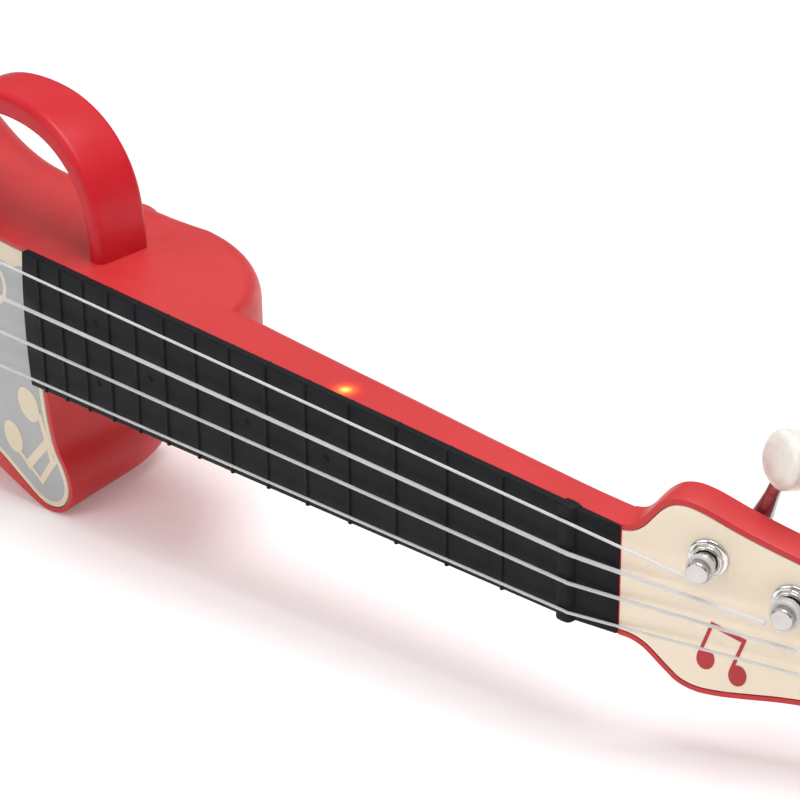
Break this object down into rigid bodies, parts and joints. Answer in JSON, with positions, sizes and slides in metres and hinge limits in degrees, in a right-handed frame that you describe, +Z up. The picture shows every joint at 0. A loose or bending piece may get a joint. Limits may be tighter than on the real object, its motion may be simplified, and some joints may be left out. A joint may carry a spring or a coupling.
{
  "type": "toy electronic ukulele",
  "caption": "Four-string electronic toy instrument: red moulded body with a carrying handle, patterned front plate, black fretboard and geared tuners in line on a tilted headstock.",
  "frame": {"origin": "centre of the bounding box on the floor, under the instrument standing on its treble edge with the handle up", "axes": "+X along the neck toward the headstock, which dips 4.7 degrees, +Y toward the flat back, +Z up toward the handle"},
  "size_m": [0.611, 0.065, 0.1644],
  "materials": {
    "red_plastic": "satin moulded",
    "handle_red": "satin moulded",
    "plate_grey": "printed satin",
    "fretboard_black": "satin moulded",
    "headstock_cream": "satin",
    "bridge_black": "satin moulded",
    "saddle_white": "polished",
    "string_clear": "translucent nylon",
    "tuner_chrome": "polished",
    "tuner_steel": "nickel plated",
    "knob_pearl": "pearly",
    "button_cream": "satin moulded",
    "cell_jacket": "printed jacket",
    "contact_nickel": "nickel plated",
    "speaker_steel": "zinc plated",
    "speaker_paper": "paper",
    "circuit_green": "solder mask",
    "piezo_brass": "plain",
    "screw_steel": "zinc plated",
    "tray_black": "moulded"
  },
  "bodies": {
    "instrument": {"battery_tray": "tray_black", "bridge": "bridge_black", "bridge_pickup": "piezo_brass", "cell_1": "cell_jacket", "cell_2": "cell_jacket", "cell_3": "cell_jacket", "contact_spring_1": "contact_nickel", "contact_spring_2": "contact_nickel", "contact_spring_3": "contact_nickel", "contact_strip_bass": "contact_nickel", "contact_strip_treble": "contact_nickel", "end_pin": "red_plastic", "fretboard": "fretboard_black", "front_plate": "plate_grey", "handle": "handle_red", "headstock_face": "headstock_cream", "led_board": "circuit_green", "main_board": "circuit_green", "neck_housing": "red_plastic", "rear_housing": "red_plastic", "saddle": "saddle_white", "speaker_cone": "speaker_paper", "speaker_frame": "speaker_steel", "string_a": "string_clear", "string_c": "string_clear", "string_e": "string_clear", "string_g": "string_clear", "tuner_bushing_1": "tuner_chrome", "tuner_bushing_2": "tuner_chrome", "tuner_bushing_3": "tuner_chrome", "tuner_bushing_4": "tuner_chrome", "tuner_plate_1": "tuner_steel", "tuner_plate_2": "tuner_steel", "tuner_plate_3": "tuner_steel", "tuner_plate_4": "tuner_steel"},
    "knob_1": {"tuner_worm_1": "tuner_steel", "tuner_knob_1": "knob_pearl"},
    "post_1": {"tuner_post_1": "tuner_chrome", "winding_1": "string_clear"},
    "knob_2": {"tuner_worm_2": "tuner_steel", "tuner_knob_2": "knob_pearl"},
    "post_2": {"tuner_post_2": "tuner_chrome", "winding_2": "string_clear"},
    "knob_3": {"tuner_worm_3": "tuner_steel", "tuner_knob_3": "knob_pearl"},
    "post_3": {"tuner_post_3": "tuner_chrome", "winding_3": "string_clear"},
    "knob_4": {"tuner_worm_4": "tuner_steel", "tuner_knob_4": "knob_pearl"},
    "post_4": {"tuner_post_4": "tuner_chrome", "winding_4": "string_clear"},
    "button_power": {"button_power": "button_cream"},
    "button_volume_up": {"button_volume_up": "button_cream"},
    "button_volume_down": {"button_volume_down": "button_cream"},
    "button_mode": {"button_mode": "button_cream"},
    "door": {"battery_door": "red_plastic", "door_screw": "screw_steel"}
  },
  "joints": [
    {"name": "knob_1_turn", "type": "hinge", "parent": "instrument", "child": "knob_1", "pos_m": [0.22441, -0.00121, 0.05772], "axis": [0.3856, 0.1006, 0.9172], "continuous": true},
    {"name": "post_1_turn", "type": "hinge", "parent": "instrument", "child": "post_1", "pos_m": [0.22412, -0.01818, 0.0597], "axis": [-0.308, 0.9511, 0.0252], "continuous": true},
    {"name": "knob_2_turn", "type": "hinge", "parent": "instrument", "child": "knob_2", "pos_m": [0.2452, 0.00578, 0.04819], "axis": [0.3856, 0.1006, 0.9172], "continuous": true},
    {"name": "post_2_turn", "type": "hinge", "parent": "instrument", "child": "post_2", "pos_m": [0.24491, -0.01119, 0.05018], "axis": [-0.308, 0.9511, 0.0252], "continuous": true},
    {"name": "knob_3_turn", "type": "hinge", "parent": "instrument", "child": "knob_3", "pos_m": [0.26606, 0.01276, 0.03957], "axis": [0.3856, 0.1006, 0.9172], "continuous": true},
    {"name": "post_3_turn", "type": "hinge", "parent": "instrument", "child": "post_3", "pos_m": [0.26577, -0.00421, 0.04155], "axis": [-0.308, 0.9511, 0.0252], "continuous": true},
    {"name": "knob_4_turn", "type": "hinge", "parent": "instrument", "child": "knob_4", "pos_m": [0.28691, 0.01974, 0.03084], "axis": [0.3856, 0.1006, 0.9172], "continuous": true},
    {"name": "post_4_turn", "type": "hinge", "parent": "instrument", "child": "post_4", "pos_m": [0.28662, 0.00278, 0.03282], "axis": [-0.308, 0.9511, 0.0252], "continuous": true},
    {"name": "button_power_press", "type": "slide", "parent": "instrument", "child": "button_power", "axis": [0, 1, 0], "range_m": [0, 0.0012], "stiffness_N_per_m": 400},
    {"name": "button_volume_up_press", "type": "slide", "parent": "instrument", "child": "button_volume_up", "axis": [0, 1, 0], "range_m": [0, 0.0012], "stiffness_N_per_m": 400},
    {"name": "button_volume_down_press", "type": "slide", "parent": "instrument", "child": "button_volume_down", "axis": [0, 1, 0], "range_m": [0, 0.0012], "stiffness_N_per_m": 400},
    {"name": "button_mode_press", "type": "slide", "parent": "instrument", "child": "button_mode", "axis": [0, 1, 0], "range_m": [0, 0.0012], "stiffness_N_per_m": 400},
    {"name": "door_lift", "type": "slide", "parent": "instrument", "child": "door", "axis": [0, 1, 0], "range_m": [0, 0.03]}
  ],
  "couplings": [
    {"joint": "post_1_turn", "follows": "knob_1_turn", "ratio": 0.071429},
    {"joint": "post_2_turn", "follows": "knob_2_turn", "ratio": 0.071429},
    {"joint": "post_3_turn", "follows": "knob_3_turn", "ratio": 0.071429},
    {"joint": "post_4_turn", "follows": "knob_4_turn", "ratio": 0.071429}
  ]
}
